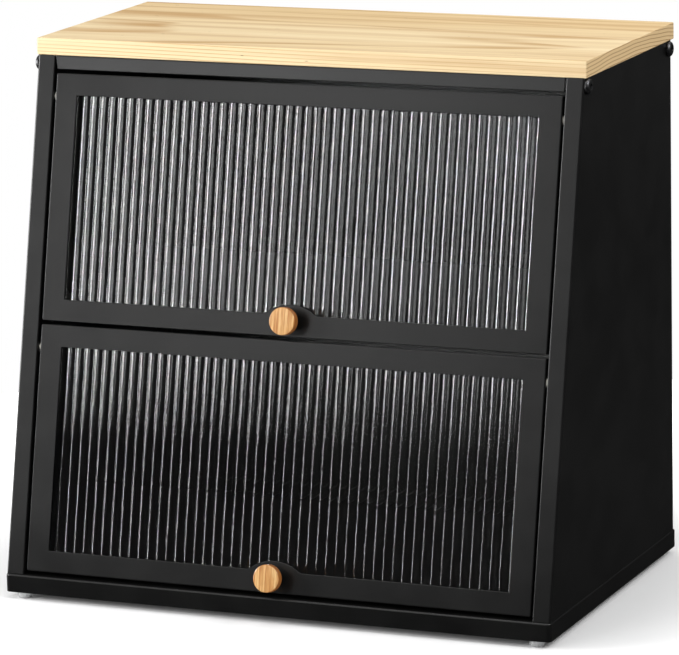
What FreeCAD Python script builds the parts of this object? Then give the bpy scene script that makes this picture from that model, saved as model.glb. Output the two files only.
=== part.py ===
"""Two-tier bread box: a folded sheet-steel cabinet with two flip-up doors and a wooden top board.

Millimetres. X runs to the right, Y to the back and Z up. The origin lies on the surface that
the feet stand on, under the middle of the box. The front of the cabinet leans back, so much of
it is placed by its rise along that slope and by its depth behind it.
"""
import FreeCAD, Part
import math
import os
import Sketcher

SIZES = {
    # Cabinet: outside width, depth at its foot with the back panel, height between base and board
    "cabinet_width": 380.0,
    "cabinet_depth": 242.5,
    "cabinet_height": 333.5,
    "lean_angle": 12.4,
    "sheet": 0.8,
    "seam": 0.3,
    "bend_radius": 1.2,
    # Base tray and its four bumper feet
    "base_height": 12.0,
    "base_side_lip": 0.5,
    "base_front_lip": 1.6,
    "base_back_lip": 3.4,
    "base_corner_radius": 3.0,
    "base_edge_radius": 1.2,
    "base_flange": 24.0,
    "foot_radius": 5.0,
    "foot_tip_radius": 3.8,
    "foot_height": 4.5,
    "foot_shoulder": 1.8,
    "foot_side_inset": 10.5,
    "foot_end_inset": 6.5,
    # Side panels: folded edges
    "front_flange": 12.0,
    "flange_return": 20.0,
    "weld_flange": 12.0,
    # Top board
    "board_thickness": 11.2,
    "board_side_overhang": 1.3,
    "board_front_setback": 0.3,
    "board_back_overhang": 2.5,
    "board_edge_radius": 0.8,
    # Top panel and the rail folded down from its front edge
    "rail_height": 9.2,
    "rail_end_gap": 0.85,
    "rail_taper": 0.65,
    "rail_return": 6.0,
    "top_flange": 16.0,
    # Doors: gaps round them, their border round the window, and the tongue round the knob
    "door_side_gap": 1.75,
    "door_bottom_gap": 2.8,
    "door_divider_gap": 2.5,
    "door_top_gap": 2.3,
    "door_recess": 1.0,
    "door_depth": 10.0,
    "door_edge_radius": 0.7,
    "door_side_border": 15.25,
    "door_end_border": 14.3,
    "tongue_height": 6.5,
    "tongue_radius": 28.0,
    "tongue_fillet": 5.0,
    # Windows and the tape that holds them
    "pane_thickness": 3.0,
    "pane_lap": 5.0,
    "flute_pitch": 6.65,
    "flute_depth": 1.2,
    "tape_thickness": 0.5,
    "tape_setback": 0.6,
    "notch_half_width": 11.0,
    "notch_rise": 6.8,
    # Hinges: pin, bush, nut, and the stud that ends the travel
    "pin_drop": 15.0,
    "pin_inset": 4.5,
    "pin_radius": 2.0,
    "pin_play": 0.05,
    "pin_head_radius": 3.1,
    "pin_head_height": 1.8,
    "bush_radius": 3.0,
    "bush_flange_radius": 3.4,
    "bush_flange": 0.8,
    "bush_stand_out": 1.4,
    "hinge_gap": 0.2,
    "thread_play": 0.05,
    "nut_radius": 3.4,
    "nut_thickness": 2.5,
    "open_angle": 95.0,
    "stud_radius": 1.8,
    "stud_inset": 11.0,
    "stud_overlap": 0.4,
    "stud_head_radius": 2.8,
    "stud_head_height": 1.0,
    "stop_gap": 0.15,
    # Knobs
    "knob_radius": 9.0,
    "knob_thickness": 6.0,
    "knob_chamfer": 0.6,
    "knob_rise": 10.0,
    "stem_radius": 4.5,
    "stem_length": 7.0,
    "knob_screw_radius": 2.0,
    "knob_screw_bite": 4.0,
    "knob_screw_head_radius": 3.6,
    "knob_screw_head_height": 2.2,
    # Lips that the doors close on, and the magnetic catches on them
    "lip_gap": 0.3,
    "lip_rise": 13.0,
    "lip_foot": 1.5,
    "catch_place": 120.0,
    "catch_width": 16.0,
    "catch_rise": 1.9,
    "catch_height": 6.2,
    "catch_gap": 0.3,
    "magnet_radius": 2.2,
    "magnet_thickness": 1.5,
    # Shelf, floor and back panel
    "shelf_side_flange": 12.0,
    "back_upturn": 10.0,
    "back_panel_gap": 1.0,
    "vent_radius": 3.0,
    "vent_pitch": 22.0,
    "vent_drop": 24.0,
    # Screws
    "hole_play": 0.25,
    "side_screw_radius": 2.5,
    "side_screw_length": 7.5,
    "side_screw_head_radius": 5.1,
    "side_screw_head_height": 2.9,
    "side_screw_dome": 2.2,
    "side_screw_socket_radius": 2.1,
    "side_screw_socket_depth": 1.6,
    "side_screw_drop": 5.6,
    "side_screw_inset": 5.6,
    "side_nut_radius": 3.8,
    "board_screw_radius": 2.0,
    "board_screw_bite": 8.0,
    "board_screw_head_radius": 4.0,
    "board_screw_head_height": 2.4,
    "board_screw_place": 150.0,
    "board_screw_inset": 30.0,
    "back_screw_radius": 1.5,
    "back_screw_length": 5.0,
    "back_screw_head_radius": 2.8,
    "back_screw_head_height": 1.8,
    "back_screw_dome": 1.1,
    "back_screw_cross_reach": 1.5,
    "back_screw_cross_half": 0.35,
    "back_screw_cross_depth": 1.0,
    "back_screw_inset": 18.0,
}

BACK_SCREWS_PER_SIDE = 4
VENTS_PER_ROW = 9
VENT_ROWS = 2


class Size:
    """A size, held as a formula over the sheet's cells and as the number it comes to."""

    def __init__(self, text, number):
        self.text = text
        self.number = number

    def __add__(self, other):
        other = as_size(other)
        return Size(f"({self.text} + {other.text})", self.number + other.number)

    def __sub__(self, other):
        other = as_size(other)
        return Size(f"({self.text} - {other.text})", self.number - other.number)

    def __mul__(self, other):
        other = as_size(other)
        return Size(f"({self.text} * {other.text})", self.number * other.number)

    def __truediv__(self, other):
        other = as_size(other)
        return Size(f"({self.text} / {other.text})", self.number / other.number)

    def __radd__(self, other):
        return as_size(other) + self

    def __rsub__(self, other):
        return as_size(other) - self

    def __rmul__(self, other):
        return as_size(other) * self

    def __rtruediv__(self, other):
        return as_size(other) / self

    def __neg__(self):
        return Size(f"(0 - {self.text})", -self.number)


def as_size(value):
    """A plain number as a size."""
    if isinstance(value, Size):
        return value
    return Size(repr(float(value)), float(value))


def sine(angle):
    return Size(f"sin({angle.text})", math.sin(math.radians(angle.number)))


def cosine(angle):
    return Size(f"cos({angle.text})", math.cos(math.radians(angle.number)))


def tangent(angle):
    return Size(f"tan({angle.text})", math.tan(math.radians(angle.number)))


class Sheet:
    """The driving sizes: one spreadsheet cell each, read here by name."""

    def __init__(self, document):
        cells = document.addObject("Spreadsheet::Sheet", "sizes")
        for row, (name, number) in enumerate(SIZES.items(), start=1):
            cells.set(f"A{row}", name)
            cells.set(f"B{row}", str(number))
            cells.setAlias(f"B{row}", name)
            setattr(self, name, Size(f"sizes.{name}", number))


doc = FreeCAD.newDocument("bread_box")
dim = Sheet(doc)
doc.recompute()
sub_parts = {}

# Sizes that follow from the driving ones
half_width = dim.cabinet_width / 2
base_top = dim.foot_height + dim.base_height
board_bottom = base_top + dim.cabinet_height
slope_length = dim.cabinet_height / cosine(dim.lean_angle)
gaps_on_slope = dim.door_bottom_gap + dim.door_divider_gap + dim.door_top_gap
rail_on_slope = dim.rail_height * cosine(dim.lean_angle)
door_height = (slope_length - gaps_on_slope - rail_on_slope) / 2
flange_edge = half_width - dim.front_flange
door_half = flange_edge - dim.door_side_gap
web_inside = half_width - dim.sheet
weld_edge = half_width - dim.weld_flange - dim.seam
between_returns = flange_edge - dim.seam
back_inside = dim.cabinet_depth - dim.sheet
pin_depth = dim.door_recess + dim.pin_inset
lip_depth = dim.door_recess + dim.door_depth + dim.lip_gap
window_half = door_half - dim.door_side_border
board_back = dim.cabinet_depth + dim.board_back_overhang
tray_back = dim.cabinet_depth + dim.base_back_lip
door_foot = {
    "lower": dim.door_bottom_gap,
    "upper": dim.door_bottom_gap + door_height + dim.door_divider_gap,
}


def on_front(rise, depth):
    """Y and Z of a place by its rise along the leaning front and its depth square to it."""
    back = rise * sine(dim.lean_angle) + depth * cosine(dim.lean_angle)
    up = base_top + rise * cosine(dim.lean_angle) - depth * sine(dim.lean_angle)
    return back, up


def front_y(height, depth):
    """Y at a height, on the plane that lies a depth behind the leaning front."""
    return (height - base_top) * tangent(dim.lean_angle) + depth / cosine(dim.lean_angle)


# The lower knob's front rim and the tray's back end the box, and the origin is midway
knob_front_y, _ = on_front(
    dim.door_bottom_gap + dim.knob_rise - dim.knob_radius + dim.knob_chamfer,
    dim.door_recess - dim.stem_length - dim.knob_thickness,
)
middle_y = (knob_front_y + tray_back) / 2


def bind(thing, name, value):
    """Ties one property to a formula over the sheet."""
    thing.setExpression(name, as_size(value).text)


def place(thing, y=0, z=0, turn_about=None, turn=0):
    """Puts a sub-part at Y and Z, turned about the X or Y axis, with the origin midway."""
    if turn_about:
        angle = as_size(turn)
        thing.Placement = FreeCAD.Placement(
            FreeCAD.Vector(0, 0, 0), FreeCAD.Rotation(FreeCAD.Vector(*turn_about), angle.number)
        )
        bind(thing, "Placement.Rotation.Angle", angle)
    bind(thing, "Placement.Base.y", y - middle_y)
    bind(thing, "Placement.Base.z", z)


def new_body(name):
    body = doc.addObject("PartDesign::Body", name)
    body.Label = name
    return body


def keep(name, thing):
    """Lists a finished sub-part under its name."""
    thing.Label = name
    sub_parts[name] = thing
    return thing


PLANES = {"X": "YZ_Plane", "Y": "XZ_Plane", "Z": "XY_Plane"}


def sketch_across(body, axis, start):
    """An empty sketch square to an axis of the body, at a place along that axis."""
    sketch = body.newObject("Sketcher::SketchObject", body.Name + "_sketch")
    plane = next(item for item in body.Origin.OriginFeatures if item.Role == PLANES[axis])
    sketch.AttachmentSupport = [(plane, "")]
    sketch.MapMode = "FlatFace"
    bind(sketch, "AttachmentOffset.Base.z", -as_size(start) if axis == "Y" else start)
    return sketch


def hold_point(sketch, line, end, place_across, place_up):
    """Fixes one end of a line or the centre of a curve by its two distances from the origin."""
    for kind, value in (("DistanceX", place_across), ("DistanceY", place_up)):
        value = as_size(value)
        index = sketch.addConstraint(
            Sketcher.Constraint(kind, -1, 1, line, end, value.number)
        )
        bind(sketch, f"Constraints[{index}]", value)


def draw_polygon(sketch, corners):
    """A closed outline of straight lines with every corner tied to the sheet."""
    points = [FreeCAD.Vector(as_size(a).number, as_size(b).number, 0) for a, b in corners]
    first = sketch.GeometryCount
    for start, end in zip(points, points[1:] + points[:1]):
        sketch.addGeometry(Part.LineSegment(start, end), False)
    for index in range(len(corners)):
        following = first + (index + 1) % len(corners)
        sketch.addConstraint(Sketcher.Constraint("Coincident", first + index, 2, following, 1))
    for index, (across, up) in enumerate(corners):
        hold_point(sketch, first + index, 1, across, up)


def draw_circle(sketch, across, up, radius):
    radius = as_size(radius)
    centre = FreeCAD.Vector(as_size(across).number, as_size(up).number, 0)
    circle = sketch.addGeometry(Part.Circle(centre, FreeCAD.Vector(0, 0, 1), radius.number), False)
    hold_point(sketch, circle, 3, across, up)
    index = sketch.addConstraint(Sketcher.Constraint("Radius", circle, radius.number))
    bind(sketch, f"Constraints[{index}]", radius)


def extrude(body, sketch, kind, axis, length):
    """Pads or pockets a sketch from its plane in the axis's own direction."""
    before = body.Tip.Shape.Volume if body.Tip else 0.0
    feature = body.newObject("PartDesign::" + kind, body.Name + "_" + kind.lower())
    feature.Profile = sketch
    feature.Reversed = (axis == "Y") == (kind == "Pad")
    bind(feature, "Length", length)
    doc.recompute()
    change = feature.Shape.Volume - before
    if (change > 0) != (kind == "Pad"):
        raise RuntimeError(f"{feature.Name} changed the volume of {body.Name} by {change}")
    return feature


def add_block(body, axis, start, length, corners):
    """Adds a prism: an outline square to the axis, from a start, for a length."""
    sketch = sketch_across(body, axis, start)
    draw_polygon(sketch, corners)
    return extrude(body, sketch, "Pad", axis, length)


def cut_block(body, axis, start, length, corners):
    """Cuts a prism out of the body."""
    sketch = sketch_across(body, axis, start)
    draw_polygon(sketch, corners)
    return extrude(body, sketch, "Pocket", axis, length)


def cut_holes(body, axis, start, length, centres, radius):
    """Cuts round holes along the axis."""
    sketch = sketch_across(body, axis, start)
    for across, up in centres:
        draw_circle(sketch, across, up, radius)
    return extrude(body, sketch, "Pocket", axis, length)


def rectangle(left, right, low, high):
    return [(left, low), (right, low), (right, high), (left, high)]


def both_sides(right_corners):
    """An outline that is alike left and right, from its right half listed from front to back."""
    left_corners = [(-as_size(across), up) for across, up in reversed(right_corners)]
    return right_corners + left_corners


def round_edges(body, radius, is_chosen):
    """Rounds each edge of the body that the test chooses."""
    doc.recompute()
    tip = body.Tip
    names = [
        f"Edge{number}" for number, edge in enumerate(tip.Shape.Edges, start=1) if is_chosen(edge)
    ]
    if not names:
        raise RuntimeError("no edge to round on " + body.Name)
    fillet = body.newObject("PartDesign::Fillet", body.Name + "_fillet")
    fillet.Base = (tip, names)
    bind(fillet, "Radius", radius)
    doc.recompute()
    return fillet


def is_near(value, size):
    return abs(value - as_size(size).number) < 0.01


def turned(name, profile):
    """A body turned about its own Z axis from an outline of radii and heights."""
    body = new_body(name)
    sketch = sketch_across(body, "Y", 0)
    draw_polygon(sketch, profile)
    feature = body.newObject("PartDesign::Revolution", name + "_turned")
    feature.Profile = sketch
    feature.ReferenceAxis = (sketch, ["V_Axis"])
    feature.Angle = 360
    return body


def mirrored(source, name):
    """The left-hand copy of a right-hand sub-part."""
    copy = doc.addObject("Part::Mirroring", name)
    copy.Source = source
    copy.Base = FreeCAD.Vector(0, 0, 0)
    copy.Normal = FreeCAD.Vector(1, 0, 0)
    return copy


def group(name, right_members):
    """Like fasteners in one node: the right-hand ones with their left-hand copies."""
    left_members = [mirrored(item, item.Name + "_left") for item in right_members]
    compound = doc.addObject("Part::Compound", name)
    compound.Links = right_members + left_members
    return keep(name, compound)


QUARTER_TURN = 90
ACROSS_X = ((0, 1, 0), QUARTER_TURN)
LEAN_BACK = ((1, 0, 0), -dim.lean_angle)
OUT_OF_DOOR = ((1, 0, 0), QUARTER_TURN - dim.lean_angle)
OUT_OF_BACK = ((1, 0, 0), -QUARTER_TURN)


def make_base_tray():
    """Closed shallow tray with folded-in top edges, rounded corners and a rounded rim."""
    body = new_body("base_tray")
    reach = half_width + dim.base_side_lip
    front = -dim.base_front_lip
    back = tray_back
    add_block(body, "Z", dim.foot_height, dim.base_height, rectangle(-reach, reach, front, back))
    round_edges(
        body,
        dim.base_corner_radius,
        lambda edge: edge.BoundBox.ZLength > dim.base_height.number - 0.01,
    )
    round_edges(
        body,
        dim.base_edge_radius,
        lambda edge: is_near(edge.BoundBox.ZMin, base_top) and is_near(edge.BoundBox.YMax, front),
    )
    inside = reach - dim.sheet
    corner = inside - dim.base_corner_radius
    cavity = both_sides([
        (corner, front + dim.sheet),
        (inside, front + dim.sheet + dim.base_corner_radius),
        (inside, back - dim.sheet - dim.base_corner_radius),
        (corner, back - dim.sheet),
    ])
    cut_block(
        body, "Z", dim.foot_height + dim.sheet, dim.base_height - 2 * dim.sheet, cavity
    )
    opening = rectangle(
        dim.base_flange - reach, reach - dim.base_flange,
        front + dim.base_flange, back - dim.base_flange,
    )
    cut_block(body, "Z", base_top - dim.sheet, dim.sheet, opening)
    place(body)
    keep("base_tray", body)


def make_feet():
    """Four clear bumpers stuck under the corners of the tray."""
    side = half_width - dim.foot_side_inset
    rows = {
        "front": dim.foot_end_inset - dim.base_front_lip,
        "back": tray_back - dim.foot_end_inset,
    }
    for row, place_y in rows.items():
        name = row + "_right_foot"
        foot = turned(name, [
            (0, 0),
            (dim.foot_tip_radius, 0),
            (dim.foot_radius, dim.foot_shoulder),
            (dim.foot_radius, dim.foot_height),
            (0, dim.foot_height),
        ])
        place(foot, place_y)
        bind(foot, "Placement.Base.x", side)
        keep(name, foot)
        keep(row + "_left_foot", mirrored(foot, row + "_left_foot"))


def side_screw_places():
    """Y and Z of the two screws near the top corners of each side."""
    height = board_bottom - dim.side_screw_drop
    front = front_y(height, 0) + dim.side_screw_inset
    return [(front, height), (dim.cabinet_depth - dim.side_screw_inset, height)]


def pin_place(tier):
    return on_front(door_foot[tier] + door_height - dim.pin_drop, pin_depth)


def stud_place(tier):
    """Where the rear edge of the door's side return comes to rest at the full opening angle."""
    behind_pin = dim.door_depth - dim.pin_inset
    reach = behind_pin + dim.stud_radius + dim.stop_gap
    drop = (reach - dim.stud_inset * cosine(dim.open_angle)) / sine(dim.open_angle)
    return on_front(
        door_foot[tier] + door_height - dim.pin_drop - drop, pin_depth + dim.stud_inset
    )


def back_screw_heights():
    first = base_top + dim.back_screw_inset
    step = (dim.cabinet_height - 2 * dim.back_screw_inset) / (BACK_SCREWS_PER_SIDE - 1)
    return [first + step * index for index in range(BACK_SCREWS_PER_SIDE)]


back_screw_x = half_width - dim.weld_flange / 2


def make_side_panels():
    """Trapezoid web folded in at the front and the back; the front fold returns."""
    body = new_body("right_side_panel")
    under_plate = board_bottom - dim.sheet - dim.seam
    add_block(body, "X", web_inside, dim.sheet, [
        (0, base_top),
        (back_inside, base_top),
        (back_inside, board_bottom),
        (front_y(board_bottom, 0), board_bottom),
    ])
    add_block(body, "X", flange_edge, dim.front_flange, [
        (0, base_top),
        (front_y(base_top, dim.sheet), base_top),
        (front_y(board_bottom, dim.sheet), board_bottom),
        (front_y(board_bottom, 0), board_bottom),
    ])
    add_block(body, "X", flange_edge, dim.sheet, [
        (0, base_top),
        (front_y(base_top, dim.flange_return), base_top),
        (front_y(under_plate, dim.flange_return), under_plate),
        (front_y(under_plate, 0), under_plate),
    ])
    add_block(
        body, "Y", back_inside - dim.sheet, dim.sheet,
        rectangle(half_width - dim.weld_flange, half_width, base_top, under_plate),
    )
    for place_x in (half_width, flange_edge):
        round_edges(
            body,
            dim.bend_radius if place_x is half_width else dim.bend_radius / 2,
            lambda edge: is_near(edge.BoundBox.XMin, place_x)
            and is_near(edge.BoundBox.XMax, place_x)
            and is_near(edge.BoundBox.YMin, 0)
            and edge.BoundBox.ZLength > dim.cabinet_height.number / 2,
        )
    cut_holes(
        body, "X", web_inside, dim.sheet, side_screw_places(),
        dim.side_screw_radius + dim.hole_play,
    )
    pins = [pin_place(tier) for tier in door_foot]
    cut_holes(body, "X", flange_edge, dim.sheet, pins, dim.pin_radius + dim.thread_play)
    studs = [stud_place(tier) for tier in door_foot]
    cut_holes(body, "X", flange_edge, dim.sheet, studs, dim.stud_radius + dim.thread_play)
    cut_holes(
        body, "Y", back_inside - dim.sheet, dim.sheet,
        [(back_screw_x, height) for height in back_screw_heights()],
        dim.back_screw_radius + dim.thread_play,
    )
    place(body)
    keep("right_side_panel", body)
    keep("left_side_panel", mirrored(body, "left_side_panel"))


def add_lip(body, tier, low):
    """The leaning lip behind the foot of a door, from a height up to its own top edge."""
    _, high = on_front(door_foot[tier] + dim.lip_rise, lip_depth)
    add_block(body, "X", -between_returns, 2 * between_returns, [
        (front_y(low, lip_depth), low),
        (front_y(low, lip_depth + dim.sheet), low),
        (front_y(high, lip_depth + dim.sheet), high),
        (front_y(high, lip_depth), high),
    ])
    return high


def make_floor_panel():
    """Floor of the lower tier, welded to tray and sides, with a front lip and a back upturn."""
    body = new_body("floor_panel")
    front = front_y(base_top + dim.sheet, lip_depth)
    behind_returns = front_y(base_top + dim.sheet, dim.flange_return) + dim.seam
    before_flanges = back_inside - dim.sheet - dim.seam
    add_block(body, "Z", base_top, dim.sheet, both_sides([
        (between_returns, front),
        (between_returns, behind_returns),
        (web_inside, behind_returns),
        (web_inside, before_flanges),
        (weld_edge, before_flanges),
        (weld_edge, back_inside),
    ]))
    add_lip(body, "lower", base_top)
    add_block(
        body, "Y", back_inside - dim.sheet, dim.sheet,
        rectangle(-weld_edge, weld_edge, base_top, base_top + dim.back_upturn),
    )
    place(body)
    keep("floor_panel", body)


_, shelf_top = on_front(door_foot["upper"] + dim.lip_rise, lip_depth)


def make_middle_shelf():
    """Floor of the upper tier: lip down in front, upturn behind, side flanges spot-welded."""
    body = new_body("middle_shelf")
    front = front_y(shelf_top, lip_depth)
    behind_returns = front_y(shelf_top, dim.flange_return) + dim.seam
    before_flanges = back_inside - dim.sheet - dim.seam
    add_block(body, "Z", shelf_top - dim.sheet, dim.sheet, both_sides([
        (between_returns, front),
        (between_returns, behind_returns),
        (web_inside, behind_returns),
        (web_inside, before_flanges),
        (weld_edge, before_flanges),
        (weld_edge, back_inside),
    ]))
    _, lip_low = on_front(door_foot["upper"] + dim.lip_foot, lip_depth)
    add_lip(body, "upper", lip_low)
    add_block(
        body, "Y", back_inside - dim.sheet, dim.sheet,
        rectangle(-weld_edge, weld_edge, shelf_top - dim.sheet, shelf_top + dim.back_upturn),
    )
    for start in (web_inside - dim.sheet, -web_inside):
        add_block(
            body, "X", start, dim.sheet,
            rectangle(
                behind_returns, before_flanges, shelf_top - dim.shelf_side_flange, shelf_top
            ),
        )
    place(body)
    keep("middle_shelf", body)


def board_screw_places():
    front = front_y(board_bottom, 0) + dim.board_screw_inset
    back = dim.cabinet_depth - dim.board_screw_inset
    return [(dim.board_screw_place, front), (dim.board_screw_place, back)]


def make_top_panel():
    """Steel lid under the board: side and back flanges, and the upright rail in front."""
    body = new_body("top_panel")
    rail_half = flange_edge - dim.rail_end_gap
    behind_flanges = front_y(board_bottom, dim.sheet) + dim.seam
    before_flanges = back_inside - dim.sheet - dim.seam
    add_block(body, "Z", board_bottom - dim.sheet, dim.sheet, both_sides([
        (rail_half, front_y(board_bottom, 0)),
        (rail_half, behind_flanges),
        (web_inside, behind_flanges),
        (web_inside, back_inside),
    ]))
    rail_front = front_y(board_bottom, 0)
    rail_low = board_bottom - dim.rail_height
    rail_foot_half = rail_half - dim.rail_taper
    add_block(body, "Y", rail_front, dim.sheet, [
        (-rail_foot_half, rail_low),
        (rail_foot_half, rail_low),
        (rail_half, board_bottom - dim.sheet),
        (rail_half, board_bottom),
        (-rail_half, board_bottom),
        (-rail_half, board_bottom - dim.sheet),
    ])
    add_block(
        body, "Z", rail_low, dim.sheet,
        rectangle(
            dim.seam - rail_foot_half, rail_foot_half - dim.seam,
            rail_front, rail_front + dim.rail_return,
        ),
    )
    for height in (board_bottom, rail_low):
        round_edges(
            body,
            dim.bend_radius / 2,
            lambda edge: is_near(edge.BoundBox.YMin, rail_front)
            and is_near(edge.BoundBox.YMax, rail_front)
            and is_near(edge.BoundBox.ZMin, height)
            and edge.BoundBox.XLength > dim.cabinet_width.number / 2,
        )
    flange_low = board_bottom - dim.top_flange
    for start in (web_inside - dim.sheet, -web_inside):
        add_block(body, "X", start, dim.sheet, [
            (front_y(flange_low, dim.sheet) + dim.seam, flange_low),
            (before_flanges, flange_low),
            (before_flanges, board_bottom),
            (front_y(board_bottom, dim.sheet) + dim.seam, board_bottom),
        ])
    add_block(
        body, "Y", back_inside - dim.sheet, dim.sheet,
        rectangle(-weld_edge, weld_edge, flange_low, board_bottom),
    )
    cut_holes(
        body, "X", -web_inside, 2 * web_inside, side_screw_places(),
        dim.side_screw_radius + dim.hole_play,
    )
    right_places = board_screw_places()
    left_places = [(-across, back) for across, back in right_places]
    cut_holes(
        body, "Z", board_bottom - dim.sheet, dim.sheet, right_places + left_places,
        dim.board_screw_radius + dim.hole_play,
    )
    place(body)
    keep("top_panel", body)


def make_back_panel():
    """Flat panel screwed to the side panels' back flanges, with vent holes for each tier."""
    body = new_body("back_panel")
    reach = half_width - dim.back_panel_gap
    low = base_top + dim.seam
    high = board_bottom - dim.seam
    add_block(body, "Y", back_inside, dim.sheet, rectangle(-reach, reach, low, high))
    heights = back_screw_heights()
    screws = [(side * back_screw_x, height) for side in (-1, 1) for height in heights]
    cut_holes(
        body, "Y", back_inside, dim.sheet, screws, dim.back_screw_radius + dim.hole_play
    )
    vents = []
    for tier_top in (shelf_top - dim.sheet, board_bottom):
        for row in range(VENT_ROWS):
            height = tier_top - dim.vent_drop - dim.vent_pitch / 2 * row
            count = VENTS_PER_ROW - row
            for column in range(count):
                vents.append((dim.vent_pitch * (column - (count - 1) / 2), height))
    cut_holes(body, "Y", back_inside, dim.sheet, vents, dim.vent_radius)
    place(body)
    keep("back_panel", body)


def make_wood_top():
    """Solid board with eased edges, pilot-drilled from below."""
    body = new_body("wood_top")
    reach = half_width + dim.board_side_overhang
    front = front_y(board_bottom, 0) + dim.board_front_setback
    add_block(
        body, "Z", board_bottom, dim.board_thickness, rectangle(-reach, reach, front, board_back)
    )
    round_edges(body, dim.board_edge_radius, lambda edge: True)
    right_places = board_screw_places()
    left_places = [(-across, back) for across, back in right_places]
    cut_holes(
        body, "Z", board_bottom, dim.board_screw_bite + dim.thread_play,
        right_places + left_places, dim.board_screw_radius + dim.thread_play,
    )
    place(body)
    keep("wood_top", body)


# A door is built upright about its hinge axis and then leaned back with the front
door_high = dim.pin_drop
door_low = dim.pin_drop - door_height
face_y = -dim.pin_inset
window_high = door_high - dim.door_end_border
window_low = door_low + dim.door_end_border
pane_front_y = face_y + dim.sheet + dim.tape_thickness


def draw_window(sketch):
    """The window's outline: a rectangle whose foot rises in an arch over the knob."""
    centre_up = window_low + dim.tongue_height - dim.tongue_radius
    arch_to_fillet = dim.tongue_radius + dim.tongue_fillet
    rise = (window_low + dim.tongue_fillet - centre_up).number
    turn = math.acos(rise / arch_to_fillet.number)
    foot_x = arch_to_fillet.number * math.sin(turn)
    low = window_low.number
    high = window_high.number
    side = window_half.number
    corners = [
        (-foot_x, low), (-side, low), (-side, high), (side, high), (side, low), (foot_x, low),
    ]
    points = [FreeCAD.Vector(across, up, 0) for across, up in corners]
    for start, end in zip(points, points[1:]):
        sketch.addGeometry(Part.LineSegment(start, end), False)
    quarter = math.pi / 2
    fillet_up = low + dim.tongue_fillet.number
    for across, up, radius, start, end in (
        (foot_x, fillet_up, dim.tongue_fillet, 3 * quarter - turn, 3 * quarter),
        (0, centre_up.number, dim.tongue_radius, quarter - turn, quarter + turn),
        (-foot_x, fillet_up, dim.tongue_fillet, 3 * quarter, 3 * quarter + turn),
    ):
        centre = FreeCAD.Vector(across, up, 0)
        circle = Part.Circle(centre, FreeCAD.Vector(0, 0, 1), radius.number)
        curve = sketch.addGeometry(Part.ArcOfCircle(circle, start, end), False)
        index = sketch.addConstraint(Sketcher.Constraint("Radius", curve, radius.number))
        bind(sketch, f"Constraints[{index}]", radius)
    foot_left, left, top, right, foot_right, right_fillet, arch, left_fillet = range(8)
    for one, other in ((foot_left, left), (left, top), (top, right), (right, foot_right)):
        sketch.addConstraint(Sketcher.Constraint("Coincident", one, 2, other, 1))
    hold_point(sketch, left, 1, -window_half, window_low)
    hold_point(sketch, top, 1, -window_half, window_high)
    hold_point(sketch, right, 1, window_half, window_high)
    hold_point(sketch, right, 2, window_half, window_low)
    hold_point(sketch, arch, 3, 0, centre_up)
    sketch.addConstraint(Sketcher.Constraint("Horizontal", foot_left))
    sketch.addConstraint(Sketcher.Constraint("Horizontal", foot_right))
    for one, one_end, other, other_end in (
        (foot_right, 2, right_fillet, 2),
        (right_fillet, 1, arch, 1),
        (left_fillet, 2, arch, 2),
        (foot_left, 1, left_fillet, 1),
    ):
        sketch.addConstraint(Sketcher.Constraint("Tangent", one, one_end, other, other_end))


def make_door_frame(tier):
    """Pressed frame: a flat face with four returns, a window with a tongue, and its holes."""
    name = tier + "_door_frame"
    body = new_body(name)
    add_block(
        body, "Y", face_y, dim.door_depth, rectangle(-door_half, door_half, door_low, door_high)
    )
    round_edges(
        body, dim.bend_radius, lambda edge: edge.BoundBox.YLength > dim.door_depth.number - 0.01
    )
    round_edges(
        body,
        dim.door_edge_radius,
        lambda edge: is_near(edge.BoundBox.YMax, face_y)
        and is_near(edge.BoundBox.ZMin, door_high),
    )
    inside = door_half - dim.sheet
    cut_block(
        body, "Y", face_y + dim.sheet, dim.door_depth - dim.sheet,
        rectangle(-inside, inside, door_low + dim.sheet, door_high - dim.sheet),
    )
    window = sketch_across(body, "Y", face_y)
    draw_window(window)
    extrude(body, window, "Pocket", "Y", dim.sheet)
    cut_holes(
        body, "X", -door_half, 2 * door_half, [(0, 0)], dim.bush_radius + dim.thread_play
    )
    cut_holes(
        body, "Y", face_y, dim.sheet, [(0, door_low + dim.knob_rise)],
        dim.knob_screw_radius + dim.hole_play,
    )
    place(body, *pin_place(tier), *LEAN_BACK)
    keep(name, body)


def pane_outline():
    """Left, right, foot and head of the window pane and of the tape on it."""
    return (
        -window_half - dim.pane_lap, window_half + dim.pane_lap,
        window_low - dim.pane_lap, window_high + dim.pane_lap,
    )


def make_window(tier):
    """Clear pane with round flutes down its front, notched where the knob is screwed on."""
    left, right, low, high = (edge.number for edge in pane_outline())
    front = pane_front_y.number
    pitch = dim.flute_pitch.number
    groove = front + dim.flute_depth.number
    back = front + dim.pane_thickness.number
    count = int((right - left) / pitch)
    first = -count * pitch / 2

    def corner(across, depth):
        return FreeCAD.Vector(across, depth, low)

    edges = []
    for index in range(count):
        start = first + index * pitch
        crest = corner(start + pitch / 2, front)
        arc = Part.Arc(corner(start, groove), crest, corner(start + pitch, groove))
        edges.append(arc.toShape())
    rim = [
        corner(-first, groove), corner(-first, front), corner(right, front),
        corner(right, back), corner(left, back), corner(left, front),
        corner(first, front), corner(first, groove),
    ]
    edges += [Part.makeLine(start, end) for start, end in zip(rim, rim[1:])]
    pane = Part.Face(Part.Wire(edges)).extrude(FreeCAD.Vector(0, 0, high - low))
    notch = Part.makeBox(
        2 * dim.notch_half_width.number,
        dim.pane_thickness.number * 2,
        dim.knob_rise.number + dim.notch_rise.number,
        FreeCAD.Vector(-dim.notch_half_width.number, front - 1, door_low.number),
    )
    feature = doc.addObject("Part::Feature", tier + "_window")
    feature.Shape = pane.cut(notch)
    place(feature, *pin_place(tier), *LEAN_BACK)
    keep(tier + "_window", feature)


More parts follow.
